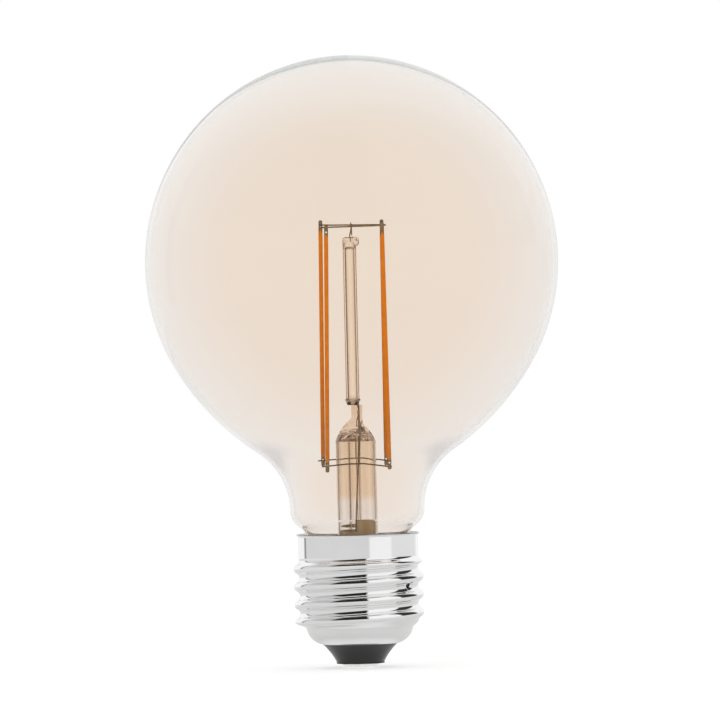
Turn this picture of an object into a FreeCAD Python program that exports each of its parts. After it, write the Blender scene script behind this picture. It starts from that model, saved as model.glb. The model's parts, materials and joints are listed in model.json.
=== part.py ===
import FreeCAD, Part
import math
import os

# Globe bulb: a blown globe on a screw cap, with a glass stem and four light strips on wires.
# Millimetres. Z is up along the bulb's axis, and the origin is the lowest point of the contact.
# X runs to the right and Y to the back, as the bulb is seen from the front.

# Globe and neck
globe_radius = 42.0
glass_wall = 0.7
shoulder_start_deg = 31.6
shoulder_radius = 54.0
neck_rise = 5.0
neck_radius = 13.7
neck_curve_radius = 14.0
neck_bead_radius = 4.6
neck_bead_turn_deg = 55.0
skirt_radius = 10.2
seal_drop = 0.1

# Stem with its dome and flat press; each rise is measured from the height before it
stem_radius = 4.125
stem_wall = 0.45
flare_radius = 5.2
dome_start_height = 43.4
dome_overlap = 0.3
dome_bulge_radius = 3.5
dome_bulge_rise = 3.8
dome_top_radius = 1.8
dome_top_rise = 2.0
dome_left_lift = 0.6
press_thickness = 2.2
press_width = 6.8
press_offset = 0.35
press_blend_rise = 1.1
press_rise = 3.1
stem_hollow_depth = 4.9
stem_hollow_round = 4.0
boss_radius = 1.6
boss_height = 1.2

# Exhaust tube, support rod and its pinched head
exhaust_radius = 1.3
exhaust_wall = 0.4
exhaust_offset = -0.4
exhaust_tip_height = 27.0
rod_radius = 1.385
rod_bore_radius = 0.8
rod_offset = -0.4
head_length = 3.4
head_width = 2.0
head_height = 1.9
head_round = 0.7
head_offset = -0.1

# Light strips and their end tabs
strip_pitch_length = 50.0
strip_width = 0.86
strip_thickness = 0.7
strip_round = 0.28
strip_point = 0.9
tab_length = 1.9
tab_width = 0.8
tab_thickness = 0.2
tab_end_round = 0.3
tab_hole_radius = 0.17
tab_hole_inset = 0.45
cage_depth = 5.0

# Each strip: x at the bottom, x at the top, height of its lower end,
# the crossbar's rise above that, and the crossbar's length beyond the strip
strip_places = {
    "front_left": (-5.84, -5.02, 39.95, 1.25, 1.1),
    "front_right": (6.73, 6.29, 40.3, 0.55, 0.5),
    "back_left": (-6.77, -6.2, 41.2, 1.2, 1.0),
    "back_right": (6.14, 6.29, 41.1, 0.95, 1.1),
}

# Wires
wire_radius = 0.15
hook_wire_radius = 0.12
wire_bend = 0.8
wire_gap = 0.02
upper_wire_bend_x = 4.4
upper_wire_left_x = -6.45
upper_wire_right_x = 7.1
upper_wire_drop = 0.27
upper_wire_tilt = 0.25
hook_half_width = 0.5
hook_spread = 0.14
hook_rise = 2.1
hook_leg_drop = 0.7
hook_tail_rise = 0.3
hook_clearance = 0.14
crossbar_hump = 0.65
crossbar_hump_half = 1.6
lead_rise_y = 2.4
lead_bow_y = 2.0
lead_bow_rise = 1.6
lead_seal_drop = 0.6
lead_turn_drop = 1.0
lead_kink = 0.15
lead_tail = 0.3
lead_pad_length = 2.0
lead_pad_rise = 0.4

# Each lead: x where it leaves the board, and x where it passes the press
lead_places = {"front": (-1.4, 0.75), "back": (0.6, 0.4)}

# Screw cap: shell with rolled ridges, in the usual 27 mm size
cap_height = 27.36
cap_wall = 0.3
collar_radius = 12.15
collar_blend = 0.6
rim_flare = 0.35
rim_height = 0.5
thread_pitch = 3.629
thread_turns = 4
thread_crest_radius = 13.2
thread_root_radius = 12.05
first_crest_rise = 1.3
shoulder_top_radius = 10.85
shoulder_top_height = 8.0
shoulder_mid_radius = 9.85
shoulder_mid_height = 6.05
shell_mouth_radius = 7.8
shell_mouth_height = 4.85

# Insulator and centre contact
insulator_clearance = 0.1
insulator_drop = 0.6
insulator_waist_radius = 5.85
insulator_waist_height = 2.85
insulator_foot_radius = 4.9
insulator_foot_height = 1.3
insulator_bottom_height = 0.9
insulator_hole_radius = 1.0
plate_radius = 4.2
plate_thickness = 0.5
plate_hole_radius = 0.5
solder_radius = 4.0
solder_flat_radius = 1.2
solder_mid_radius = 3.1
solder_mid_height = 0.35

# Cement between the neck and the collar
cement_margin = 0.4

# Driver in the cap, and the sleeve round the leads
board_width = 18.0
board_height = 13.5
board_thickness = 1.0
board_front = 1.0
sleeve_wall = 0.28
sleeve_clearance = 0.05
sleeve_top_height = 29.8
sleeve_low_height = 28.3
sleeve_rise = 0.9
chip_length = 4.9
chip_width = 3.9
chip_thickness = 1.5
capacitor_radius = 3.15
capacitor_length = 9.0
resistor_radius = 1.25
resistor_length = 6.5
part_margin = 1.0
live_wire_rise = 1.2
live_pad_length = 2.4
neutral_pad_length = 2.0

# Heights and depths that follow from the sizes above
first_crest_height = shoulder_top_height + first_crest_rise
last_root_height = first_crest_height + (thread_turns - 0.5) * thread_pitch
collar_start_height = last_root_height + collar_blend
rim_start_height = cap_height - rim_height
seal_height = collar_start_height - seal_drop
neck_height = cap_height + neck_rise
dome_bulge_height = dome_start_height + dome_bulge_rise
dome_top_height = dome_bulge_height + dome_top_rise
press_blend_height = dome_top_height + press_blend_rise
press_height = press_blend_height + press_rise
stem_hollow_height = press_height - stem_hollow_depth
lowest_strip = min(place[2] for place in strip_places.values())
crossing_height = lowest_strip + strip_pitch_length - upper_wire_drop
head_top = crossing_height - hook_rise
rod_top = head_top - head_height
rod_bottom = press_height + boss_height
rod_length = rod_top - rod_bottom
wire_depth = cage_depth - tab_thickness / 2 - wire_radius
lead_depth = wire_depth + 2 * wire_radius + wire_gap
insulator_top_height = shoulder_top_height - insulator_drop
board_bottom = insulator_top_height
board_top = board_bottom + board_height
board_back = board_front + board_thickness

V = FreeCAD.Vector
AXIS = V(0, 0, 1)
ORIGIN = V(0, 0, 0)


def polar(centre, radius, angle_deg):
    """Point of the X-Z plane at an angle from +X towards +Z about a centre."""
    angle = math.radians(angle_deg)
    return V(centre.x + radius * math.cos(angle), 0, centre.z + radius * math.sin(angle))


def line(start, end):
    return Part.LineSegment(start, end).toShape()


def arc(start, middle, end):
    return Part.Arc(start, middle, end).toShape()


def turn(centre, radius, start_deg, end_deg):
    """Arc of the X-Z plane about a centre."""
    middle_deg = (start_deg + end_deg) / 2
    return arc(*(polar(centre, radius, deg) for deg in (start_deg, middle_deg, end_deg)))


def outline(points):
    """Straight edges through points, closed back to the first."""
    return [line(a, b) for a, b in zip(points, points[1:] + points[:1])]


def revolved(edges):
    """Solid of revolution about the bulb's axis."""
    wire = Part.Wire(Part.__sortEdges__(edges))
    return Part.Face(wire).revolve(ORIGIN, AXIS, 360)


def ring(inner_radius, outer_radius, bottom, top):
    solid = Part.makeCylinder(outer_radius, top - bottom, V(0, 0, bottom))
    return solid.cut(Part.makeCylinder(inner_radius, top - bottom, V(0, 0, bottom)))


def bent_wire(points, radius, bend):
    """Round wire through points, with each corner turned on a tangent arc."""
    edges = []
    start = points[0]
    for before, corner, after in zip(points, points[1:], points[2:]):
        back = (before - corner).normalize()
        ahead = (after - corner).normalize()
        half_turn = (math.pi - back.getAngle(ahead)) / 2
        reach = bend * math.tan(half_turn)
        middle = corner + (back + ahead).normalize() * bend * (1 / math.cos(half_turn) - 1)
        first = corner + back * reach
        last = corner + ahead * reach
        if (first - start).Length > wire_gap / 10:
            edges.append(line(start, first))
        edges.append(arc(first, middle, last))
        start = last
    edges.append(line(start, points[-1]))
    section = Part.Wire(Part.makeCircle(radius, points[0], points[1] - points[0]))
    return Part.Wire(edges).makePipeShell([section], True, False)


# Globe

def globe_centre():
    """Centre of the globe, as high above the neck as the tangent arcs between them lead."""
    slant = math.radians(shoulder_start_deg)
    beyond = shoulder_radius - globe_radius
    across = neck_radius + neck_curve_radius + beyond * math.cos(slant)
    reach = shoulder_radius + neck_curve_radius
    rise = math.sqrt(reach ** 2 - across ** 2) - beyond * math.sin(slant)
    return V(0, 0, neck_height + rise)


def globe_top():
    return globe_centre() + V(0, 0, globe_radius)


def globe_arcs():
    """Tangent arcs of the outside, from the top down: centre, radius, both angles, and +1 if convex."""
    centre = globe_centre()
    shoulder = polar(centre, globe_radius - shoulder_radius, -shoulder_start_deg)
    neck = V(neck_radius + neck_curve_radius, 0, neck_height)
    slope_deg = math.degrees(math.atan2(neck.z - shoulder.z, neck.x - shoulder.x))
    bead = V(neck_radius - neck_bead_radius, 0, neck_height)
    bead_end = polar(bead, neck_bead_radius, -neck_bead_turn_deg)
    narrowing = 1 - math.cos(math.radians(neck_bead_turn_deg))
    skirt_curve_radius = (bead_end.x - skirt_radius) / narrowing
    skirt = polar(bead_end, skirt_curve_radius, -neck_bead_turn_deg)
    return [
        (centre, globe_radius, 90, -shoulder_start_deg, 1),
        (shoulder, shoulder_radius, -shoulder_start_deg, slope_deg, 1),
        (neck, neck_curve_radius, slope_deg + 180, 180, -1),
        (bead, neck_bead_radius, 0, -neck_bead_turn_deg, 1),
        (skirt, skirt_curve_radius, 180 - neck_bead_turn_deg, 180, -1),
    ]


def globe_wall_line(inset):
    """Edges of the globe's wall at a depth below its outside, from the top to the seal."""
    edges = [turn(c, r - side * inset, a, b) for c, r, a, b, side in globe_arcs()]
    centre, radius, _, end_deg, side = globe_arcs()[-1]
    skirt_start = polar(centre, radius - side * inset, end_deg)
    return edges + [line(skirt_start, V(skirt_start.x, 0, seal_height))]


def glass_globe():
    edges = globe_wall_line(0) + globe_wall_line(glass_wall)
    edges.append(line(globe_top(), globe_top() - V(0, 0, glass_wall)))
    edges.append(line(V(skirt_radius, 0, seal_height), V(skirt_radius - glass_wall, 0, seal_height)))
    return revolved(edges)


def globe_block():
    """The globe's outside as a filled solid, which shapes what seats against it."""
    edges = globe_wall_line(0)
    edges.append(line(globe_top(), V(0, 0, seal_height)))
    edges.append(line(V(0, 0, seal_height), V(skirt_radius, 0, seal_height)))
    return revolved(edges)


# Stem

def press_jaws(inset):
    """Prism that the pressing jaws leave: the dome's uneven front outline, drawn out along Y."""
    foot = stem_radius + dome_overlap - inset
    bulge = dome_bulge_radius - inset
    crown = dome_top_radius - inset
    half = press_thickness / 2 - inset

    def side(sign, lift):
        crown_end = V(sign * crown, 0, dome_top_height + lift)
        flat_start = V(sign * half + press_offset, 0, press_blend_height + lift)
        flat_end = V(flat_start.x, 0, press_height)
        dome_middle = V(sign * bulge, 0, dome_bulge_height + lift / 2)
        dome = arc(V(sign * foot, 0, dome_start_height), dome_middle, crown_end)
        return [dome, line(crown_end, flat_start), line(flat_start, flat_end)]

    top = line(V(-half + press_offset, 0, press_height), V(half + press_offset, 0, press_height))
    base = line(V(-foot, 0, dome_start_height), V(foot, 0, dome_start_height))
    sides = side(1, 0) + side(-1, dome_left_lift)
    face = Part.Face(Part.Wire(Part.__sortEdges__(sides + [top, base])))
    prism = face.extrude(V(0, 4 * stem_radius, 0))
    prism.translate(V(0, -2 * stem_radius, 0))
    return prism


def press_sides():
    """Prism that rounds the press off towards its top, drawn out along X."""
    wide = stem_radius + dome_overlap
    half = press_width / 2
    points = [
        V(0, -wide, dome_start_height),
        V(0, wide, dome_start_height),
        V(0, wide, dome_bulge_height),
        V(0, half, press_height),
        V(0, -half, press_height),
        V(0, -wide, dome_bulge_height),
    ]
    prism = Part.Face(Part.Wire(outline(points))).extrude(V(4 * stem_radius, 0, 0))
    prism.translate(V(-2 * stem_radius, 0, 0))
    return prism


def flare_tube():
    """Straight tube that opens into a flange under the globe's skirt."""
    bore = stem_radius - stem_wall
    bend = V(stem_radius + flare_radius, 0, seal_height + flare_radius)
    flange_bottom = seal_height - stem_wall
    edges = [
        turn(bend, flare_radius, 180, 270),
        turn(bend, flare_radius + stem_wall, 180, 270),
        line(V(bend.x, 0, seal_height), V(skirt_radius, 0, seal_height)),
        line(V(skirt_radius, 0, seal_height), V(skirt_radius, 0, flange_bottom)),
        line(V(skirt_radius, 0, flange_bottom), V(bend.x, 0, flange_bottom)),
        line(V(stem_radius, 0, bend.z), V(stem_radius, 0, dome_start_height)),
        line(V(stem_radius, 0, dome_start_height), V(bore, 0, dome_start_height)),
        line(V(bore, 0, dome_start_height), V(bore, 0, bend.z)),
    ]
    return revolved(edges)


def glass_stem(leads):
    """Flared tube, pressed dome and the boss under the rod, with the leads sealed through the press."""
    rise = press_height - dome_start_height
    dome = Part.makeCylinder(stem_radius, rise, V(0, 0, dome_start_height))
    dome = dome.common(press_jaws(0)).common(press_sides())
    hollow_rise = stem_hollow_height - dome_start_height
    hollow = Part.makeCylinder(stem_radius - stem_wall, hollow_rise, V(0, 0, dome_start_height))
    round_centre = V(0, 0, stem_hollow_height - stem_hollow_round)
    hollow = hollow.common(Part.makeSphere(stem_hollow_round, round_centre))
    dome = dome.cut(hollow.common(press_jaws(stem_wall)))
    boss = Part.makeCone(
        press_thickness / 2, boss_radius, boss_height, V(rod_offset, 0, press_height)
    )
    stem = flare_tube().fuse([dome, boss]).removeSplitter()
    return stem.cut(leads)


def exhaust_tube(stem):
    """Tube from the stem's rounded hollow down to its melted tip."""
    tip = V(0, 0, exhaust_tip_height + exhaust_radius)
    bore = exhaust_radius - exhaust_wall
    edges = [
        turn(tip, exhaust_radius, -90, 0),
        line(V(exhaust_radius, 0, tip.z), V(exhaust_radius, 0, stem_hollow_height)),
        line(V(exhaust_radius, 0, stem_hollow_height), V(bore, 0, stem_hollow_height)),
        line(V(bore, 0, stem_hollow_height), V(bore, 0, tip.z)),
        turn(tip, bore, 0, -90),
        line(V(0, 0, tip.z - bore), V(0, 0, exhaust_tip_height)),
    ]
    tube = revolved(edges)
    tube.translate(V(exhaust_offset, 0, 0))
    return tube.cut(stem)


def support_rod(hook):
    """Hollow rod, melted shut and pinched to a flat head round the hook wire."""
    bottom = V(rod_offset, 0, rod_bottom)
    rod = Part.makeCylinder(rod_radius, rod_length + head_height / 2, bottom)
    corner = V(head_offset - head_length / 2, -head_width / 2, rod_top)
    head = Part.makeBox(head_length, head_width, head_height, corner)
    head = head.makeFillet(head_round, head.Edges)
    bore = Part.makeCylinder(rod_bore_radius, rod_length - rod_bore_radius, bottom)
    bore_end = Part.makeSphere(rod_bore_radius, V(rod_offset, 0, rod_top - rod_bore_radius))
    return rod.fuse(head).cut(bore.fuse(bore_end)).cut(hook)


# Light strips and tabs

def long_prism(points):
    """Flat outline in X-Z, drawn out along Y to both sides."""
    prism = Part.Face(Part.Wire(outline(points))).extrude(V(0, 2 * strip_thickness, 0))
    prism.translate(V(0, -strip_thickness, 0))
    return prism


def light_strip():
    """Coated strip with pointed ends, upright on the axis from its lower tab's end at zero."""
    low = tab_length
    high = strip_pitch_length - tab_length
    box = Part.makeBox(
        strip_width, strip_thickness, high - low, V(-strip_width / 2, -strip_thickness / 2, low)
    )
    long_edges = [e for e in box.Edges if abs(e.tangentAt(e.FirstParameter).z) > 0.5]
    strip = box.makeFillet(strip_round, long_edges)
    slope = strip_point / (strip_width / 2)
    wide = strip_width
    points = [
        V(0, 0, low),
        V(wide, 0, low + slope * wide),
        V(wide, 0, high - slope * wide),
        V(0, 0, high),
        V(-wide, 0, high - slope * wide),
        V(-wide, 0, low + slope * wide),
    ]
    return strip.common(long_prism(points))


def end_tab():
    """Lower end tab: a thin rounded plate with a hole and a notch that takes the strip's point."""
    half = tab_width / 2
    prong = tab_length + strip_point * tab_width / strip_width
    edges = [
        arc(V(-half, 0, tab_end_round), V(0, 0, 0), V(half, 0, tab_end_round)),
        line(V(half, 0, tab_end_round), V(half, 0, prong)),
        line(V(half, 0, prong), V(0, 0, tab_length)),
        line(V(0, 0, tab_length), V(-half, 0, prong)),
        line(V(-half, 0, prong), V(-half, 0, tab_end_round)),
    ]
    tab = Part.Face(Part.Wire(edges)).extrude(V(0, tab_thickness, 0))
    tab.translate(V(0, -tab_thickness / 2, 0))
    hole_at = V(0, -tab_thickness, tab_length - tab_hole_inset)
    return tab.cut(Part.makeCylinder(tab_hole_radius, 2 * tab_thickness, hole_at, V(0, 1, 0)))


def strip_set(name, place):
    """One strip and its two tabs, leaning from its lower to its upper place."""
    low_x, high_x, low_z = place[:3]
    depth = -cage_depth if name.startswith("front") else cage_depth
    lean_deg = math.degrees(math.asin((high_x - low_x) / strip_pitch_length))
    upper = end_tab()
    upper.rotate(V(0, 0, strip_pitch_length / 2), V(0, 1, 0), 180)
    pieces = {
        "strip_" + name: light_strip(),
        "tab_" + name + "_bottom": end_tab(),
        "tab_" + name + "_top": upper,
    }
    for piece in pieces.values():
        piece.rotate(ORIGIN, V(0, 1, 0), lean_deg)
        piece.translate(V(low_x, depth, low_z))
    return pieces


# Wires

def upper_wire(side, level, tilt):
    """Wire from one row's left tab to the other row's right tab, through the hook."""
    places = [
        (upper_wire_left_x, side),
        (-upper_wire_bend_x, side),
        (upper_wire_bend_x, -side),
        (upper_wire_right_x, -side),
    ]
    points = [V(x, row * wire_depth, level + tilt * x / upper_wire_right_x) for x, row in places]
    return bent_wire(points, wire_radius, wire_bend)


def upper_wires():
    """Two wires that cross over each other in the hook and lie along the upper tabs."""
    over = crossing_height + 2 * wire_radius + wire_gap
    return {
        "upper_wire_a": upper_wire(1, over, -upper_wire_tilt),
        "upper_wire_b": upper_wire(-1, crossing_height, upper_wire_tilt),
    }


def hook_wire():
    """Hairpin over the crossing, with one leg sealed into the rod's head and a short tail."""
    wire_top = crossing_height + 3 * wire_radius + wire_gap
    loop_top = wire_top + hook_wire_radius + hook_clearance
    leg_height = crossing_height - hook_leg_drop
    points = [
        V(hook_spread, -hook_half_width / 2, head_top + hook_tail_rise),
        V(hook_spread, -hook_half_width, leg_height),
        V(0, -hook_half_width, loop_top),
        V(0, hook_half_width, loop_top),
        V(0, hook_half_width, leg_height),
        V(-2 * hook_spread, 0, head_top + hook_tail_rise),
        V(-hook_spread, 0, head_top - head_height / 2),
    ]
    return bent_wire(points, hook_wire_radius, hook_half_width)


def crossbar_ends(row):
    """Left and right end of a row's crossbar, each a little past the strip it carries."""
    ends = []
    for side, sign in (("left", -1), ("right", 1)):
        low_x, _, low_z, rise, overhang = strip_places[row + "_" + side]
        ends.append((low_x + sign * overhang, low_z + rise))
    return ends


def crossbar_middle(row):
    """Height of the hump in the middle of a row's crossbar."""
    (_, left_z), (_, right_z) = crossbar_ends(row)
    return (left_z + right_z) / 2 + crossbar_hump


def crossbars():
    """Two bars that carry the lower tabs, one in front of the stem and one behind it."""
    bars = {}
    for row, depth in (("front", -wire_depth), ("back", wire_depth)):
        (left_x, left_z), (right_x, right_z) = crossbar_ends(row)
        points = [
            V(left_x, depth, left_z),
            V(-crossbar_hump_half, depth, crossbar_middle(row)),
            V(crossbar_hump_half, depth, crossbar_middle(row)),
            V(right_x, depth, right_z),
        ]
        bars["crossbar_" + row] = bent_wire(points, wire_radius, wire_bend)
    return bars


def lead_wires():
    """Leads from the board up through the press, over its top and down to the crossbars."""
    turn_radius = (lead_depth - lead_rise_y) / 2
    turn_top = press_height - lead_turn_drop + turn_radius
    pads = {
        "front": (-1, board_front - wire_radius - wire_gap),
        "back": (1, board_back + wire_radius + wire_gap),
    }
    leads = {}
    for row, (side, pad_y) in pads.items():
        pad_x, press_x = lead_places[row]
        rise_y = side * lead_rise_y
        outer_y = side * lead_depth
        tail_height = crossbar_middle(row) - lead_tail
        points = [
            V(pad_x, pad_y, board_top - lead_pad_length),
            V(pad_x, pad_y, board_top + lead_pad_rise),
            V((pad_x + press_x) / 2, side * lead_bow_y, exhaust_tip_height + lead_bow_rise),
            V(press_x, rise_y, stem_hollow_height - lead_seal_drop),
            V(press_x, rise_y, turn_top),
            V(press_x, outer_y, turn_top),
            V(press_x + lead_kink, outer_y, (turn_top + tail_height) / 2),
            V(press_x - lead_kink, outer_y, tail_height),
        ]
        leads["lead_wire_" + row] = bent_wire(points, wire_radius, turn_radius)
    return leads


# Cap

def shoulder_circle():
    """Centre and radius of the circle that the shell's rounded shoulder follows."""
    edge = arc(
        V(shoulder_top_radius, 0, shoulder_top_height),
        V(shoulder_mid_radius, 0, shoulder_mid_height),
        V(shell_mouth_radius, 0, shell_mouth_height),
    )
    return edge.Curve.Center, edge.Curve.Radius


def shoulder_angle(height, radius):
    """Angle at which the shoulder's circle of a radius reaches a height."""
    centre, _ = shoulder_circle()
    return math.degrees(math.asin((height - centre.z) / radius))


def mouth_angle():
    """Angle of the shell's mouth on the shoulder's circle."""
    centre, _ = shoulder_circle()
    rise = shell_mouth_height - centre.z
    return math.degrees(math.atan2(rise, shell_mouth_radius - centre.x))


def shoulder_points(inset):
    """Top, middle and mouth of the shoulder at a depth below its outside."""
    centre, radius = shoulder_circle()
    start_deg = shoulder_angle(shoulder_top_height + inset, radius - inset)
    middle_deg = (start_deg + mouth_angle()) / 2
    return [polar(centre, radius - inset, deg) for deg in (start_deg, middle_deg, mouth_angle())]


def thread_curve():
    """Radius of the equal arcs that round the crests and the roots into each other."""
    depth = thread_crest_radius - thread_root_radius
    return ((thread_pitch / 2) ** 2 + depth ** 2) / (4 * depth)


def crest_centre(number):
    height = first_crest_height + number * thread_pitch
    return V(thread_crest_radius - thread_curve(), 0, height)


def ridge_start_deg(foot, inset):
    """Angle at which a straight line from the shoulder's top touches the lowest crest's arc."""
    away = crest_centre(0) - foot
    slope = math.atan2(away.z, away.x) - math.asin((thread_curve() - inset) / away.Length)
    return math.degrees(slope) - 90


def ridge_edges(inset, start_deg):
    """Tangent arcs over the crests and roots, from the lowest crest up to the last root."""
    curve = thread_curve()
    flank_deg = math.degrees(math.asin(thread_pitch / 4 / curve))
    edges = []
    for number in range(thread_turns):
        crest = crest_centre(number)
        root = V(thread_root_radius + curve, 0, crest.z + thread_pitch / 2)
        last = number == thread_turns - 1
        edges.append(turn(crest, curve - inset, start_deg, flank_deg))
        edges.append(turn(root, curve + inset, 180 + flank_deg, 180 if last else 180 - flank_deg))
        start_deg = -flank_deg
    return edges


def shell_line(inset):
    """Edges of the shell's wall at a depth below its outside, from the mouth up to the rim."""
    top, middle, mouth = shoulder_points(inset)
    start_deg = ridge_start_deg(top, inset)
    ridge_start = polar(crest_centre(0), thread_curve() - inset, start_deg)
    collar_start = V(collar_radius - inset, 0, collar_start_height)
    edges = [arc(mouth, middle, top), line(top, ridge_start)]
    edges += ridge_edges(inset, start_deg)
    edges.append(line(V(thread_root_radius - inset, 0, last_root_height), collar_start))
    edges.append(line(collar_start, V(collar_start.x, 0, rim_start_height)))
    return edges


def cap_shell():
    """Thin rolled shell: rounded shoulder, ridges of the thread, plain collar and flared rim."""
    lip = V(collar_radius + rim_flare, 0, cap_height - cap_wall)
    lip_top = V(lip.x - cap_wall, 0, cap_height)
    lip_middle = polar(V(lip_top.x, 0, lip.z), cap_wall, 45)
    edges = shell_line(0) + shell_line(cap_wall)
    edges += [
        line(V(collar_radius, 0, rim_start_height), lip),
        arc(lip, lip_middle, lip_top),
        line(lip_top, V(collar_radius - cap_wall, 0, rim_start_height)),
        line(shoulder_points(0)[-1], shoulder_points(cap_wall)[-1]),
    ]
    return revolved(edges)


def cap_insulator():
    """Black glass that fills the shoulder, narrows to the contact and holds its plate."""
    inner_mouth = shoulder_points(cap_wall)[-1]
    centre, radius = shoulder_circle()
    fill_radius = radius - cap_wall
    top_deg = shoulder_angle(insulator_top_height, fill_radius)
    fill_top = polar(centre, fill_radius, top_deg)
    neck = V(inner_mouth.x - insulator_clearance, 0, inner_mouth.z)
    foot = V(insulator_foot_radius, 0, insulator_foot_height)
    recess_top = insulator_bottom_height + plate_thickness
    waist = V(insulator_waist_radius, 0, insulator_waist_height)
    points = [
        foot,
        V(insulator_foot_radius, 0, insulator_bottom_height),
        V(plate_radius, 0, insulator_bottom_height),
        V(plate_radius, 0, recess_top),
        V(insulator_hole_radius, 0, recess_top),
        V(insulator_hole_radius, 0, insulator_top_height),
        fill_top,
    ]
    cone_top = V(neck.x, 0, shell_mouth_height)
    edges = [line(a, b) for a, b in zip(points, points[1:])]
    edges.append(turn(centre, fill_radius, top_deg, mouth_angle()))
    edges.append(line(inner_mouth, neck))
    edges.append(line(neck, cone_top))
    edges.append(arc(cone_top, waist, foot))
    return revolved(edges)


def contact_plate():
    top = insulator_bottom_height + plate_thickness
    return ring(plate_hole_radius, plate_radius, insulator_bottom_height, top)


def solder_tip():
    """Low dome of solder with a small worn flat that touches the lamp holder's contact."""
    top = insulator_bottom_height
    edges = [
        line(V(0, 0, 0), V(solder_flat_radius, 0, 0)),
        arc(
            V(solder_flat_radius, 0, 0),
            V(solder_mid_radius, 0, solder_mid_height),
            V(solder_radius, 0, top),
        ),
        line(V(solder_radius, 0, top), V(0, 0, top)),
        line(V(0, 0, top), V(0, 0, 0)),
    ]
    return revolved(edges)


def cap_cement(globe):
    """Ring of cement between the globe's skirt and the collar."""
    bottom = seal_height + cement_margin
    top = rim_start_height - cement_margin
    block = ring(skirt_radius - glass_wall, collar_radius - cap_wall, bottom, top)
    return block.cut(globe)


# Driver

def driver_board():
    corner = V(-board_width / 2, board_front, board_bottom)
    return Part.makeBox(board_width, board_thickness, board_height, corner)


def board_parts():
    """Components that lie on the faces of the board."""
    middle = board_bottom + board_height / 2
    rectifier_at = V(board_width / 4 - chip_length / 2, board_front - chip_thickness, middle)
    chip_at = V(part_margin - board_width / 2, board_back, board_top - chip_width - part_margin)
    capacitor_height = board_bottom + part_margin + capacitor_radius
    capacitor_at = V(-capacitor_length / 2, board_back + capacitor_radius, capacitor_height)
    resistor_at = V(-board_width / 3, board_front - resistor_radius, middle - resistor_length / 2)
    return {
        "bridge_rectifier": Part.makeBox(chip_length, chip_thickness, chip_width, rectifier_at),
        "driver_chip": Part.makeBox(chip_length, chip_thickness, chip_width, chip_at),
        "smoothing_capacitor": Part.makeCylinder(
            capacitor_radius, capacitor_length, capacitor_at, V(1, 0, 0)
        ),
        "fuse_resistor": Part.makeCylinder(resistor_radius, resistor_length, resistor_at),
    }


def supply_wires():
    """Wire from the solder up to the board, and wire from the board to a root of the shell."""
    pad_y = board_front - wire_radius - wire_gap
    bend_height = insulator_top_height + live_wire_rise
    live = [
        V(0, 0, insulator_bottom_height),
        V(0, 0, bend_height),
        V(0, pad_y, bend_height + live_wire_rise),
        V(0, pad_y, bend_height + live_wire_rise + live_pad_length),
    ]
    root_height = first_crest_height + 1.5 * thread_pitch
    wall_x = math.sqrt((thread_root_radius - cap_wall) ** 2 - pad_y ** 2)
    neutral = [
        V(board_width / 2 - neutral_pad_length, pad_y, root_height),
        V(wall_x - wire_gap, pad_y, root_height),
    ]
    return {
        "live_wire": bent_wire(live, wire_radius, wire_bend / 2),
        "neutral_wire": bent_wire(neutral, wire_radius, wire_bend / 2),
    }


def insulating_sleeve():
    """Rolled sleeve in the stem's mouth, with the low end of its sheet at the left."""
    outer = stem_radius - stem_wall - sleeve_clearance
    sleeve = ring(outer - sleeve_wall, outer, board_top, sleeve_top_height)
    wide = 2 * outer
    points = [
        V(-wide, -wide, sleeve_low_height - sleeve_rise),
        V(-wide, wide, sleeve_low_height + sleeve_rise),
        V(-wide, wide, sleeve_top_height + wide),
        V(-wide, -wide, sleeve_top_height + wide),
    ]
    low_side = Part.Face(Part.Wire(outline(points))).extrude(V(wide, 0, 0))
    return sleeve.cut(low_side)


def all_pieces():
    globe = glass_globe()
    hook = hook_wire()
    leads = lead_wires()
    stem = glass_stem(list(leads.values()))
    pieces = {
        "glass_globe": globe,
        "glass_stem": stem,
        "exhaust_tube": exhaust_tube(stem),
        "support_rod": support_rod(hook),
        "hook_wire": hook,
        "insulating_sleeve": insulating_sleeve(),
        "cap_shell": cap_shell(),
        "cap_insulator": cap_insulator(),
        "contact_plate": contact_plate(),
        "solder_tip": solder_tip(),
        "cap_cement": cap_cement(globe_block()),
        "driver_board": driver_board(),
    }
    pieces.update(leads)
    for group in (upper_wires(), crossbars(), board_parts(), supply_wires()):
        pieces.update(group)
    for name, place in strip_places.items():
        pieces.update(strip_set(name, place))
    return pieces


os.makedirs("parts", exist_ok=True)
for name, solid in all_pieces().items():
    solid.exportStep("parts/" + name + ".step")
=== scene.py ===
import json
import math

import bpy
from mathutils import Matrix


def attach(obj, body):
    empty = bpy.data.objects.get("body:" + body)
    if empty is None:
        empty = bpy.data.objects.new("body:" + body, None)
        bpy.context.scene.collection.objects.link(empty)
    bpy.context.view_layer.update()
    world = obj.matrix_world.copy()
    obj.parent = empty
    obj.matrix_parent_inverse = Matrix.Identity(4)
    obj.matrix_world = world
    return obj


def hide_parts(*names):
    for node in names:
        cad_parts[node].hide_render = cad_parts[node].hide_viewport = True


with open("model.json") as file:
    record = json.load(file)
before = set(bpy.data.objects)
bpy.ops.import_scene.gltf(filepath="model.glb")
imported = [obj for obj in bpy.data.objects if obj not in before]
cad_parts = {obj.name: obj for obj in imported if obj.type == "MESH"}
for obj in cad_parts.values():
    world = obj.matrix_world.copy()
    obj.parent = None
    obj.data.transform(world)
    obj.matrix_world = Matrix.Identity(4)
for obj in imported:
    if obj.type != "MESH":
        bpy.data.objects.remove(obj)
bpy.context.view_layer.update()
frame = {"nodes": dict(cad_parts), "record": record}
nodes = frame["nodes"]

# Lengths are written in millimetres and turned to metres where a mesh, material or camera takes them
MM = 0.001

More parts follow.
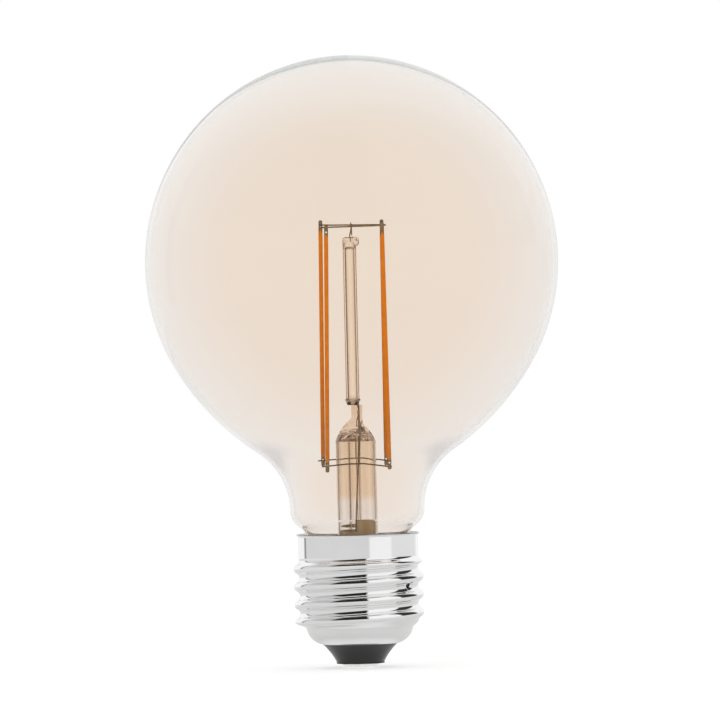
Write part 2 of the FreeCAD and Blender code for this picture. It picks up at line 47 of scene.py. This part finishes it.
# Globe and neck, the same arcs as the solid
globe_radius = 42.0
glass_wall = 0.7
skin_margin = 0.03
shoulder_start_deg = 31.6
shoulder_radius = 54.0
neck_height = 32.36
neck_radius = 13.7
neck_curve_radius = 14.0
neck_bead_radius = 4.6
neck_bead_turn_deg = 55.0
skirt_radius = 10.2
seal_height = 22.5
globe_columns = 240

# Screw cap
cap_height = 27.35
cap_wall = 0.3
collar_radius = 12.15
collar_start_height = 22.6
rim_flare = 0.35
rim_height = 0.5
thread_pitch = 3.629
thread_crest_radius = 13.18
thread_root_radius = 12.05
crest_height = 9.3
thread_run_out = 1.4
shoulder_top_radius = 10.85
shoulder_top_height = 8.0
shoulder_mid = (9.85, 6.05)
shell_mouth = (7.8, 4.86)
shell_columns = 300
thread_rows = 110

# Punched dimple in the shell, placed by its turn to the right of the front, and the painted dark shade in
# its middle
dimple_turn_deg = 55.0
dimple_height = 16.8
dimple_reach = 1.2
dimple_depth = 0.3
dimple_shade_radius = 0.6
dimple_shade_edge = 0.15

# Glass
globe_ior = 1.14
stem_ior = 1.5
wave_depth = 0.7

# Floor: its own tone, and the light that it adds for the eye, for glass and for polished metal
floor_radius = 450.0
floor_tone = (0.6, 0.6, 0.6)
floor_glow = 0.5
glow_through_glass = 0.8
glow_in_metal = (1.0, 0.42)
metal_glow_fade = (6.0, 14.0)

# Camera as in the photograph
camera_distance = 1300.0
camera_height = 62.5
camera_offset = 1.25
camera_roll_deg = 1.3
picture_width = 146.4
sensor_width = 36.0

white = (1.0, 1.0, 1.0)


def smooth_step(share):
    """Ease from 0 to 1 with level ends."""
    share = min(max(share, 0.0), 1.0)
    return share * share * (3 - 2 * share)


def polar(centre, radius, angle_deg):
    """Point at a radius and an angle from a centre."""
    angle = math.radians(angle_deg)
    return (centre[0] + radius * math.cos(angle), centre[1] + radius * math.sin(angle))


def bearing_deg(centre, point):
    """Angle at which a point is seen from a centre."""
    return math.degrees(math.atan2(point[1] - centre[1], point[0] - centre[0]))


def arc_points(centre, radius, start_deg, end_deg, step_deg):
    """Points along an arc, both ends included."""
    count = max(2, math.ceil(abs(end_deg - start_deg) / step_deg))
    turn = end_deg - start_deg
    return [polar(centre, radius, start_deg + turn * i / count) for i in range(count + 1)]


def circle_through(first, second, third):
    """Centre and radius of the circle through three points."""
    (ax, ay), (bx, by), (cx, cy) = first, second, third
    spread = 2 * (ax * (by - cy) + bx * (cy - ay) + cx * (ay - by))
    a, b, c = ax * ax + ay * ay, bx * bx + by * by, cx * cx + cy * cy
    x = (a * (by - cy) + b * (cy - ay) + c * (ay - by)) / spread
    y = (a * (cx - bx) + b * (ax - cx) + c * (bx - ax)) / spread
    return (x, y), math.hypot(ax - x, ay - y)


def mesh_object(name, points, faces):
    """Smooth-shaded mesh from points in millimetres."""
    mesh = bpy.data.meshes.new(name)
    mesh.from_pydata([(x * MM, y * MM, z * MM) for x, y, z in points], [], faces)
    mesh.validate()
    mesh.shade_smooth()
    piece = bpy.data.objects.new(name, mesh)
    bpy.context.scene.collection.objects.link(piece)
    return piece


def turned(name, place, rows, columns, lid_row=None):
    """Closed skin of rows round the axis; place gives a row's radius and height at an angle.

    After the lid row the skin is broken, and a flat lid closes each of the two rows there.
    """
    points = []
    for row in range(rows):
        for column in range(columns):
            angle = 2 * math.pi * column / columns
            radius, height = place(row, angle)
            points.append((radius * math.cos(angle), radius * math.sin(angle), height))
    faces = []
    for row in range(rows):
        low, high = row * columns, (row + 1) % rows * columns
        if row == lid_row:
            faces.append(tuple(low + column for column in range(columns)))
            faces.append(tuple(high + column for column in reversed(range(columns))))
            continue
        for column in range(columns):
            after = (column + 1) % columns
            faces.append((low + column, low + after, high + after, high + column))
    return mesh_object(name, points, faces)


# Glass globe

def globe_centres():
    """Centres of the arcs of the globe, its shoulder and its neck, each tangent to the next."""
    shoulder_x, shoulder_drop = polar((0, 0), shoulder_radius - globe_radius, 180 - shoulder_start_deg)
    neck = (neck_radius + neck_curve_radius, neck_height)
    reach = shoulder_radius + neck_curve_radius
    shoulder = (shoulder_x, neck_height + math.sqrt(reach ** 2 - (neck[0] - shoulder_x) ** 2))
    return (0, shoulder[1] - shoulder_drop), shoulder, neck


def globe_line(inset):
    """Points of the globe's wall at a depth below its outside, from near the top to the seal."""
    globe, shoulder, neck = globe_centres()
    slope_deg = bearing_deg(shoulder, neck)
    bead = (neck_radius - neck_bead_radius, neck[1])
    bead_end = polar(bead, neck_bead_radius, -neck_bead_turn_deg)
    narrowing = 1 - math.cos(math.radians(neck_bead_turn_deg))
    skirt_curve = (bead_end[0] - skirt_radius) / narrowing
    skirt = polar(bead_end, skirt_curve, -neck_bead_turn_deg)
    arcs = [
        (globe, globe_radius - inset, 89.5, -shoulder_start_deg, 1.5),
        (shoulder, shoulder_radius - inset, -shoulder_start_deg, slope_deg, 1.5),
        (neck, neck_curve_radius + inset, slope_deg + 180, 180, 2.5),
        (bead, neck_bead_radius - inset, 0, -neck_bead_turn_deg, 4),
        (skirt, skirt_curve + inset, 180 - neck_bead_turn_deg, 180, 4),
    ]
    line = []
    for arc in arcs:
        points = arc_points(*arc)
        line += points if not line else points[1:]
    return line + [(skirt_radius - inset, seal_height)]


def make_globe():
    """Blown glass with an outside and an inside, closed at the seal and the top."""
    outside = globe_line(skin_margin)
    line = outside[::-1] + globe_line(glass_wall)

    def place(row, angle):
        return line[row]

    return turned("blown_globe", place, len(line), globe_columns, len(outside) - 1)


# Cap shell with its helical thread

def thread_rise(distance):
    """Rise of the rounded thread above its root, at a distance along the axis from a crest."""
    half_pitch = thread_pitch / 2
    depth = thread_crest_radius - thread_root_radius
    curve = (half_pitch ** 2 + depth ** 2) / (4 * depth)
    if distance < half_pitch / 2:
        return depth - curve + math.sqrt(curve ** 2 - distance ** 2)
    return curve - math.sqrt(curve ** 2 - (half_pitch - distance) ** 2)


def dimple_fall(angle, height):
    """Depth of the punched dimple at a place on the shell."""
    across = thread_crest_radius * (angle - math.radians(270 + dimple_turn_deg))
    distance = math.hypot(across, height - dimple_height)
    return dimple_depth * (1 - smooth_step(distance / dimple_reach))


def thread_radius(angle, height):
    """Outside of the shell between shoulder and collar; the right-hand thread runs out at both ends."""
    from_start = smooth_step((height - shoulder_top_height) / thread_run_out)
    from_end = smooth_step((collar_start_height - height) / thread_run_out)
    crest = crest_height + thread_pitch * (angle / (2 * math.pi) - 0.5)
    turns = (height - crest) / thread_pitch
    distance = abs(turns - round(turns)) * thread_pitch
    base = shoulder_top_radius + (thread_root_radius - shoulder_top_radius) * from_start
    base += (collar_radius - thread_root_radius) * (1 - from_end)
    return base + thread_rise(distance) * from_start * from_end - dimple_fall(angle, height)


def collar_line():
    """Points up the outside of the collar, over its rolled lip and down the inside."""
    rim_start = cap_height - rim_height
    edge_loop = 0.12
    outside = [
        (collar_radius, collar_start_height),
        (collar_radius, collar_start_height + 2 * edge_loop),
        (collar_radius, rim_start - edge_loop),
        (collar_radius, rim_start),
    ]
    # Inset from the lip's widest radius and fall below its top, both in walls
    rolled = ((0.1, 1.0), (0.0, 0.6), (0.1, 0.25), (0.33, 0.07), (0.5, 0.0), (1.0, 0.15))
    widest = collar_radius + rim_flare
    lip = [(widest - inset * cap_wall, cap_height - fall * cap_wall) for inset, fall in rolled]
    inside = [(collar_radius - cap_wall, rim_start), (collar_radius - cap_wall, collar_start_height)]
    return outside + lip + inside


def make_cap_shell():
    """Thin shell: rounded shoulder, thread, collar and flared rim, outside and inside."""
    shoulder_top = (shoulder_top_radius, shoulder_top_height)
    centre, radius = circle_through(shoulder_top, shoulder_mid, shell_mouth)
    shoulder = arc_points(
        centre, radius, bearing_deg(centre, shell_mouth), bearing_deg(centre, shoulder_top), 8
    )
    rise = (collar_start_height - shoulder_top_height) / thread_rows
    heights = [shoulder_top_height + rise * row for row in range(1, thread_rows)]
    collar = collar_line()
    thread_start = len(shoulder)
    collar_start = thread_start + len(heights)
    inside_start = collar_start + len(collar)
    inside_end = inside_start + len(heights)

    def place(row, angle):
        if row < thread_start:
            return shoulder[row]
        if row < collar_start:
            height = heights[row - thread_start]
            return thread_radius(angle, height), height
        if row < inside_start:
            return collar[row - collar_start]
        if row < inside_end:
            height = heights[inside_end - 1 - row]
            return thread_radius(angle, height) - cap_wall, height
        outside_radius, height = shoulder[inside_end + len(shoulder) - 1 - row]
        return outside_radius - cap_wall, height

    return turned("threaded_shell", place, inside_end + len(shoulder), shell_columns)


# Steps that the materials share

def new_material(name):
    """Material with its node tree and principled shader."""
    material = bpy.data.materials.new(name)
    material.use_nodes = True
    tree = material.node_tree
    return material, tree, tree.nodes["Principled BSDF"]


def object_coordinates(tree):
    return tree.nodes.new("ShaderNodeTexCoord").outputs["Object"]


def noise(tree, scale, detail=3.0):
    """Noise over the object's own coordinates, with its scale in waves per metre."""
    texture = tree.nodes.new("ShaderNodeTexNoise")
    texture.inputs["Scale"].default_value = scale
    texture.inputs["Detail"].default_value = detail
    tree.links.new(object_coordinates(tree), texture.inputs["Vector"])
    return texture.outputs["Fac"]


def maths(tree, operation, first, second=0.0):
    """Result of an operation on two sockets or numbers."""
    node = tree.nodes.new("ShaderNodeMath")
    node.operation = operation
    for socket, value in zip(node.inputs, (first, second)):
        if isinstance(value, float):
            socket.default_value = value
        else:
            tree.links.new(value, socket)
    return node.outputs[0]


def product(tree, *factors):
    """Product of several sockets or numbers."""
    result = factors[0]
    for factor in factors[1:]:
        result = maths(tree, "MULTIPLY", result, factor)
    return result


def mapped(tree, value, from_range, to_range=(0.0, 1.0), eased_ends=False):
    """Value carried from one range to another and held at its ends."""
    node = tree.nodes.new("ShaderNodeMapRange")
    if eased_ends:
        node.interpolation_type = "SMOOTHSTEP"
    node.inputs["From Min"].default_value, node.inputs["From Max"].default_value = from_range
    node.inputs["To Min"].default_value, node.inputs["To Max"].default_value = to_range
    tree.links.new(value, node.inputs["Value"])
    return node.outputs["Result"]


def eased(tree, value, start, end):
    """0 before one value and 1 past another, with a soft rise between."""
    return mapped(tree, value, (start, end), eased_ends=True)


def height_share(tree, start, end):
    """Height between two levels in millimetres, as a share from 0 to 1."""
    split = tree.nodes.new("ShaderNodeSeparateXYZ")
    tree.links.new(object_coordinates(tree), split.inputs["Vector"])
    return mapped(tree, split.outputs["Z"], (start * MM, end * MM))


def axis_distance(tree):
    """Distance from the bulb's axis, in metres."""
    flat = tree.nodes.new("ShaderNodeVectorMath")
    flat.operation = "MULTIPLY"
    flat.inputs[1].default_value = (1.0, 1.0, 0.0)
    tree.links.new(object_coordinates(tree), flat.inputs[0])
    length = tree.nodes.new("ShaderNodeVectorMath")
    length.operation = "LENGTH"
    tree.links.new(flat.outputs["Vector"], length.inputs[0])
    return length.outputs["Value"]


def point_distance(tree, x, y, z):
    """Distance in metres from a point given in millimetres."""
    node = tree.nodes.new("ShaderNodeVectorMath")
    node.operation = "DISTANCE"
    node.inputs[1].default_value = (x * MM, y * MM, z * MM)
    tree.links.new(object_coordinates(tree), node.inputs[0])
    return node.outputs["Value"]


def facing(tree):
    """0 where the surface faces the eye and 1 where it is seen edge on."""
    node = tree.nodes.new("ShaderNodeLayerWeight")
    node.inputs["Blend"].default_value = 0.5
    return node.outputs["Facing"]


def grey_stops(*pairs):
    """Stops for a ramp from (place, brightness) pairs."""
    return [(place, (grey, grey, grey)) for place, grey in pairs]


def ramp(tree, factor, stops):
    """Colour ramp over a factor, from (place, colour) stops."""
    node = tree.nodes.new("ShaderNodeValToRGB")
    elements = node.color_ramp.elements
    while len(elements) < len(stops):
        elements.new(1.0)
    for element, (place, colour) in zip(elements, stops):
        element.position = place
        element.color = (*colour, 1.0)
    tree.links.new(factor, node.inputs["Fac"])
    return node.outputs["Color"]


def mixed(tree, factor, first, second):
    """Colour between two colours or sockets."""
    node = tree.nodes.new("ShaderNodeMix")
    node.data_type = "RGBA"
    tree.links.new(factor, node.inputs["Factor"])
    for name, value in (("A", first), ("B", second)):
        socket = [entry for entry in node.inputs if entry.name == name and entry.type == "RGBA"][0]
        if isinstance(value, tuple):
            socket.default_value = (*value, 1.0)
        else:
            tree.links.new(value, socket)
    return [entry for entry in node.outputs if entry.type == "RGBA"][0]


def bump(tree, shader, factor, depth):
    """Small relief on a shader's normal, with its depth in millimetres."""
    node = tree.nodes.new("ShaderNodeBump")
    node.inputs["Strength"].default_value = 1.0
    node.inputs["Distance"].default_value = depth * MM
    tree.links.new(factor, node.inputs["Height"])
    tree.links.new(node.outputs["Normal"], shader.inputs["Normal"])


# Glass materials

def clear_glass(name, tint, ior, waves=None):
    """Clear glass, tinted at each surface that light passes, with waves where it was worked by hand."""
    material, tree, shader = new_material(name)
    tree.links.new(tint(tree), shader.inputs["Base Color"])
    shader.inputs["Transmission Weight"].default_value = 1.0
    shader.inputs["Roughness"].default_value = 0.0
    shader.inputs["IOR"].default_value = ior
    if waves:
        bump(tree, shader, waves(tree), wave_depth)
    return material


def globe_amber(tree):
    """Amber of the globe with a painted pale sheen towards its edge, most of all round the crown, and
    painted grey shade at the very edge.
    """
    # Painted light and shade: paler towards the edge as a sheen, grey at the very edge as shade
    sides = ramp(tree, facing(tree), [
        (0.0, (0.918, 0.847, 0.778)), (0.2, (0.916, 0.851, 0.790)), (0.4, (0.918, 0.875, 0.835)),
        (0.55, (0.932, 0.903, 0.872)), (0.68, (0.935, 0.912, 0.890)), (0.80, (0.930, 0.912, 0.895)),
        (0.84, (0.860, 0.850, 0.838)), (1.0, (0.800, 0.790, 0.780)),
    ])
    crown = ramp(tree, facing(tree), [
        (0.0, (0.918, 0.847, 0.778)), (0.15, (0.916, 0.851, 0.785)), (0.3, (0.920, 0.875, 0.825)),
        (0.45, (0.930, 0.900, 0.872)), (0.72, (0.928, 0.902, 0.878)), (0.8, (0.900, 0.890, 0.870)),
        (0.84, (0.790, 0.785, 0.770)), (1.0, (0.700, 0.690, 0.680)),
    ])
    return mixed(tree, height_share(tree, 106.0, 121.0), sides, crown)


def neck_amber(tree):
    """Paler amber of the neck, even at the seal, with a painted pale sheen towards its edge and painted
    grey shade at the very edge.
    """
    wall = ramp(tree, facing(tree), [
        (0.0, (0.916, 0.858, 0.808)), (0.3, (0.925, 0.885, 0.850)), (0.66, (0.930, 0.915, 0.900)),
        (0.72, (0.800, 0.790, 0.775)), (1.0, (0.700, 0.690, 0.680)),
    ])
    return mixed(tree, height_share(tree, 28.0, 32.0), (0.905, 0.868, 0.832), wall)


def neck_shade(tree):
    """1 in the hollow where the neck turns into the globe, seen near its edge."""
    hollow = grey_stops((0.0, 0.0), (0.35, 1.0), (0.65, 1.0), (1.0, 0.0))
    in_hollow = ramp(tree, height_share(tree, 39.0, 47.0), hollow)
    return product(tree, in_hollow, eased(tree, facing(tree), 0.52, 0.72))


def painted_edge_shade(tree, from_outside):
    """Mask of the painted line of shade: 1 in the thin line where the globe's outside is seen edge on,
    broader round the crown and below.
    """
    globe, shoulder, neck = globe_centres()
    from_centre = point_distance(tree, 0, 0, globe[1])
    outer_skin = eased(tree, from_centre, (globe_radius - 0.5) * MM, (globe_radius - 0.3) * MM)
    at_crown = product(tree, height_share(tree, 114.0, 122.0), 0.09)
    below = product(tree, height_share(tree, 100.0, 84.0), 0.045)
    broader = maths(tree, "ADD", at_crown, below)
    edge_on = eased(tree, maths(tree, "ADD", facing(tree), broader), 0.855, 0.875)
    above_neck = height_share(tree, 50.0, 56.0)
    return product(tree, edge_on, outer_skin, from_outside, above_neck)


def globe_tint(tree):
    """Amber in the globe and paler in the neck, with painted grey shade in the hollow of the neck and a
    painted dark line of shade along the outline of the globe.
    """
    amber = mixed(tree, height_share(tree, 30.0, 46.0), neck_amber(tree), globe_amber(tree))
    # Painted grey shade in the hollow where the neck turns into the globe
    amber = mixed(tree, neck_shade(tree), amber, (0.740, 0.720, 0.740))
    # Nearly clear where the wall is met from behind at a glance, so the painted grey edge shade is kept
    # off there
    from_within = tree.nodes.new("ShaderNodeNewGeometry").outputs["Backfacing"]
    glancing_within = product(tree, eased(tree, facing(tree), 0.8, 0.84), from_within)
    amber = mixed(tree, glancing_within, amber, (0.940, 0.930, 0.920))
    edge_shade_grey = (0.23, 0.22, 0.235)
    # Painted shade: a dark grey line along the outline, paler low down and at the top
    line = ramp(tree, height_share(tree, 60.0, 122.0), [
        (0.56, (0.70, 0.685, 0.67)), (0.78, edge_shade_grey), (0.86, edge_shade_grey), (0.98, (0.39, 0.43, 0.415)),
    ])
    return mixed(tree, painted_edge_shade(tree, maths(tree, "SUBTRACT", 1.0, from_within)), amber, line)


def stem_tint(tree):
    """Painted amber shade standing in for the darker amber light that the stem bends in from the globe's
    wall: darkest in the pressed dome, clearer towards the flare and in the thin tube and rod on the axis.
    """
    height = height_share(tree, 26.0, 90.0)
    pressed_amber_shade = (0.840, 0.680, 0.545)
    rod = (0.990, 0.948, 0.880)
    wall = ramp(tree, height, [
        (0.12, (0.965, 0.945, 0.935)), (0.145, (0.946, 0.862, 0.765)), (0.32, (0.944, 0.846, 0.728)),
        (0.37, pressed_amber_shade),
    ])
    core = ramp(tree, height, [
        (0.34, (0.985, 0.965, 0.945)), (0.37, pressed_amber_shade), (0.44, pressed_amber_shade), (0.46, rod), (0.92, rod),
        (0.945, (0.900, 0.790, 0.680)),
    ])
    return mixed(tree, eased(tree, axis_distance(tree), 1.9 * MM, 2.1 * MM), core, wall)


def stem_waves(tree):
    """Waves in the pinched glass above the dome and in the rod's melted head."""
    worked = ramp(tree, height_share(tree, 46.0, 92.0), grey_stops(
        (0.0, 0.0), (0.05, 1.0), (0.15, 1.0), (0.19, 0.0), (0.86, 0.0), (0.9, 1.0)
    ))
    return product(tree, noise(tree, 420.0, 1.0), worked)


# Metal and opaque materials

def metal_material(name, dark, light, roughness, scale):
    """Bare metal with faint clouds in its tone and polish."""
    material, tree, shader = new_material(name)
    clouds = noise(tree, scale)
    tree.links.new(ramp(tree, clouds, [(0.35, dark), (0.65, light)]), shader.inputs["Base Color"])
    tree.links.new(mapped(tree, clouds, (0.0, 1.0), roughness), shader.inputs["Roughness"])
    shader.inputs["Metallic"].default_value = 1.0
    return material


def beside_dimple_shade(tree):
    """0 in the painted dark shade in the middle of the punched dimple and 1 beside it."""
    angle = math.radians(270 + dimple_turn_deg)
    radius = thread_radius(angle, dimple_height)
    distance = point_distance(tree, radius * math.cos(angle), radius * math.sin(angle), dimple_height)
    return eased(tree, distance, dimple_shade_radius * MM, (dimple_shade_radius + dimple_shade_edge) * MM)


def nickel_material(name):
    """Polished plating with faint clouds, a duller cut edge at the rim and painted near-black shade in
    the middle of the punched dimple.
    """
    material, tree, shader = new_material(name)
    clouds = noise(tree, 90.0)
    plating = ramp(tree, clouds, grey_stops((0.35, 0.86), (0.65, 0.91)))
    cut_edge = eased(tree, height_share(tree, 0.0, cap_height), 0.988, 0.996)
    plating = mixed(tree, cut_edge, plating, (0.30, 0.30, 0.30))
    # Painted shade: near black in the middle of the dimple
    plating = mixed(tree, beside_dimple_shade(tree), (0.01, 0.01, 0.01), plating)
    tree.links.new(plating, shader.inputs["Base Color"])
    tree.links.new(mapped(tree, clouds, (0.0, 1.0), (0.02, 0.05)), shader.inputs["Roughness"])
    shader.inputs["Metallic"].default_value = 1.0
    return material


def solid_material(name, dark, light, roughness, scale, relief=0.0, shine=0.5):
    """Opaque surface with a fine mottle in its colour, gloss and relief."""
    material, tree, shader = new_material(name)
    mottle = noise(tree, scale)
    tree.links.new(ramp(tree, mottle, [(0.3, dark), (0.7, light)]), shader.inputs["Base Color"])
    tree.links.new(mapped(tree, mottle, (0.0, 1.0), roughness), shader.inputs["Roughness"])
    shader.inputs["Specular IOR Level"].default_value = shine
    if relief:
        bump(tree, shader, mottle, relief)
    return material


# Slot: darkest and lightest tone, range of roughness and waves of the mottle per metre
metals = {
    "bright_wire": ((0.20, 0.145, 0.085), (0.30, 0.22, 0.135), (0.25, 0.4), 400.0),
    "tab_metal": ((0.22, 0.165, 0.10), (0.33, 0.25, 0.155), (0.25, 0.4), 600.0),
    "contact_brass": ((0.55, 0.38, 0.14), (0.65, 0.47, 0.20), (0.2, 0.35), 500.0),
    "solder": ((0.88, 0.88, 0.87), (0.95, 0.95, 0.94), (0.45, 0.6), 700.0),
}
# The same, and where it matters the relief in millimetres and the shine
solids = {
    "strip_coating": ((0.75, 0.22, 0.006), (0.84, 0.275, 0.011), (0.5, 0.65), 900.0, 0.01, 0.15),
    "sleeve_paper": ((0.86, 0.52, 0.15), (0.98, 0.72, 0.32), (0.3, 0.45), 1800.0, 0.02),
    "cement": ((0.74, 0.70, 0.63), (0.82, 0.78, 0.72), (0.7, 0.9), 900.0, 0.05),
    "black_glass": ((0.006, 0.006, 0.007), (0.012, 0.012, 0.013), (0.05, 0.12), 200.0),
    "board": ((0.45, 0.38, 0.16), (0.52, 0.44, 0.20), (0.4, 0.5), 600.0),
    "component_black": ((0.012, 0.012, 0.012), (0.02, 0.02, 0.02), (0.45, 0.6), 900.0),
    "capacitor_sleeve": ((0.008, 0.012, 0.04), (0.012, 0.018, 0.055), (0.25, 0.35), 500.0),
    "resistor_body": ((0.16, 0.30, 0.25), (0.20, 0.35, 0.30), (0.3, 0.4), 800.0),
}


def make_materials():
    """Material of every slot in the record."""
    materials = {
        "amber_glass": clear_glass("amber_glass", globe_tint, globe_ior),
        "stem_glass": clear_glass("stem_glass", stem_tint, stem_ior, stem_waves),
        "nickel_shell": nickel_material("nickel_shell"),
    }
    for name, values in metals.items():
        materials[name] = metal_material(name, *values)
    for name, values in solids.items():
        materials[name] = solid_material(name, *values)
    return materials


def paint_nodes(materials):
    """Give every solid the material of its slot in the record."""
    for entry in frame["record"]["subparts"]:
        mesh = nodes[entry["node"]].data
        mesh.materials.clear()
        mesh.materials.append(materials[entry["material_slot"]])


def add_piece(piece, node, slot_name, materials):
    """Show a new piece in place of a solid."""
    piece.data.materials.append(materials[slot_name])
    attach(piece, "root")
    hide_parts(node)


# Stage

def floor_light(tree):
    """Light that makes the floor white to the eye and through glass, and greyer in polished metal."""
    path = tree.nodes.new("ShaderNodeLightPath").outputs
    through_glass = product(tree, path["Is Transmission Ray"], glow_through_glass)
    seen = maths(tree, "MAXIMUM", path["Is Camera Ray"], through_glass)
    outward = eased(tree, axis_distance(tree), *[radius * MM for radius in metal_glow_fade])
    in_metal = product(tree, path["Is Glossy Ray"], mapped(tree, outward, (0.0, 1.0), glow_in_metal))
    return product(tree, maths(tree, "MAXIMUM", seen, in_metal), floor_glow)


def make_floor():
    """Round pale floor that looks white and still takes the bulb's shadow."""
    corners = 96
    points = [(*polar((0, 0), floor_radius, 360 * corner / corners), 0) for corner in range(corners)]
    floor = mesh_object("floor", points, [tuple(range(corners))])
    material, tree, shader = new_material("floor_white")
    shader.inputs["Base Color"].default_value = (*floor_tone, 1.0)
    shader.inputs["Roughness"].default_value = 0.9
    shader.inputs["Specular IOR Level"].default_value = 0.0
    shader.inputs["Emission Color"].default_value = (*white, 1.0)
    tree.links.new(floor_light(tree), shader.inputs["Emission Strength"])
    floor.data.materials.append(material)


def wall_stops(*pairs):
    """Stops for a ramp round the bulb from (degrees to the right of the camera, brightness) pairs."""
    return grey_stops(*[(angle_deg / 360 + 0.5, grey) for angle_deg, grey in pairs])


def studio_walls(tree, x, y, z):
    """What polished metal sees: grey walls, a bright window to the right, the dark above the camera."""
    to_camera = maths(tree, "ARCTAN2", x, product(tree, y, -1.0))
    azimuth = mapped(tree, to_camera, (-math.pi, math.pi))
    level = ramp(tree, azimuth, wall_stops(
        (-168, 0.84), (-164, 1.0), (-129, 1.0), (-126, 0.3), (-122, 0.3), (-119, 0.72), (20, 0.72),
        (24, 0.97), (65, 0.97), (70, 0.8), (140, 0.8), (155, 1.0), (164, 1.0), (168, 0.84),
    ))
    high = ramp(tree, azimuth, wall_stops(
        (-140, 1.0), (-118, 0.55), (-60, 0.5), (-50, 0.02), (13, 0.02), (18, 1.0), (78, 1.0),
        (84, 0.04), (122, 0.04), (130, 1.0),
    ))
    slant = product(tree, maths(tree, "MINIMUM", azimuth, 0.536), 1.2)
    return mixed(tree, eased(tree, maths(tree, "ADD", z, slant), 0.66, 0.76), level, high)


def seen_through_glass(tree, x, y, z, path):
    """White behind glass, with brown sides for light bent by the stem.

    Light that metal mirrors through the glass sees the dark above the camera.
    """
    sides = mixed(tree, eased(tree, x, -0.3, 0.3), (0.10, 0.06, 0.03), (0.30, 0.22, 0.15))
    beside = grey_stops((0.15, 1.0), (0.35, 0.0), (0.75, 0.0), (0.98, 1.0))
    brown_and_white = mixed(tree, ramp(tree, maths(tree, "ABSOLUTE", y), beside), sides, white)
    past_stem = eased(tree, path["Transmission Depth"], 4.4, 4.6)
    backdrop = mixed(tree, past_stem, white, brown_and_white)
    to_camera = eased(tree, product(tree, y, -1.0), 0.0, 0.2)
    upward = eased(tree, z, 0.2, 0.4)
    mirrored = eased(tree, path["Glossy Depth"], 0.4, 0.6)
    only_once = eased(tree, path["Glossy Depth"], 1.6, 1.4)
    dark_above = product(tree, to_camera, upward, mirrored, only_once)
    return mixed(tree, dark_above, backdrop, (0.02, 0.02, 0.02))


def make_world():
    """White studio that lights the bulb evenly, with its own look in polished metal and through glass."""
    world = bpy.data.worlds.new("studio")
    bpy.context.scene.world = world
    world.use_nodes = True
    tree = world.node_tree
    split = tree.nodes.new("ShaderNodeSeparateXYZ")
    tree.links.new(tree.nodes.new("ShaderNodeTexCoord").outputs["Generated"], split.inputs["Vector"])
    direction = [split.outputs[axis] for axis in "XYZ"]
    path = tree.nodes.new("ShaderNodeLightPath").outputs
    colour = mixed(tree, path["Is Glossy Ray"], white, studio_walls(tree, *direction))
    through_glass = seen_through_glass(tree, *direction, path)
    colour = mixed(tree, path["Is Transmission Ray"], colour, through_glass)
    colour = mixed(tree, eased(tree, path["Diffuse Depth"], 0.4, 0.6), colour, white)
    tree.links.new(colour, tree.nodes["Background"].inputs["Color"])


def make_camera():
    """Long lens level with the bulb's middle, turned a little as in the photograph."""
    data = bpy.data.cameras.new("camera")
    data.sensor_width = sensor_width
    data.lens = sensor_width * camera_distance / picture_width
    data.clip_start = 0.05
    data.clip_end = 20.0
    camera = bpy.data.objects.new("camera", data)
    camera.location = (camera_offset * MM, -camera_distance * MM, camera_height * MM)
    camera.rotation_euler = (math.pi / 2, math.radians(camera_roll_deg), 0)
    bpy.context.scene.collection.objects.link(camera)
    bpy.context.scene.camera = camera


def set_render():
    """Plain view of colours, and enough bounces for light to pass all the glass."""
    scene = bpy.context.scene
    scene.view_settings.view_transform = "Standard"
    scene.cycles.max_bounces = 32
    scene.cycles.transmission_bounces = 32
    scene.cycles.glossy_bounces = 12


slot_materials = make_materials()
paint_nodes(slot_materials)
add_piece(make_globe(), "glass_globe", "amber_glass", slot_materials)
add_piece(make_cap_shell(), "cap_shell", "nickel_shell", slot_materials)
make_floor()
make_world()
make_camera()
set_render()
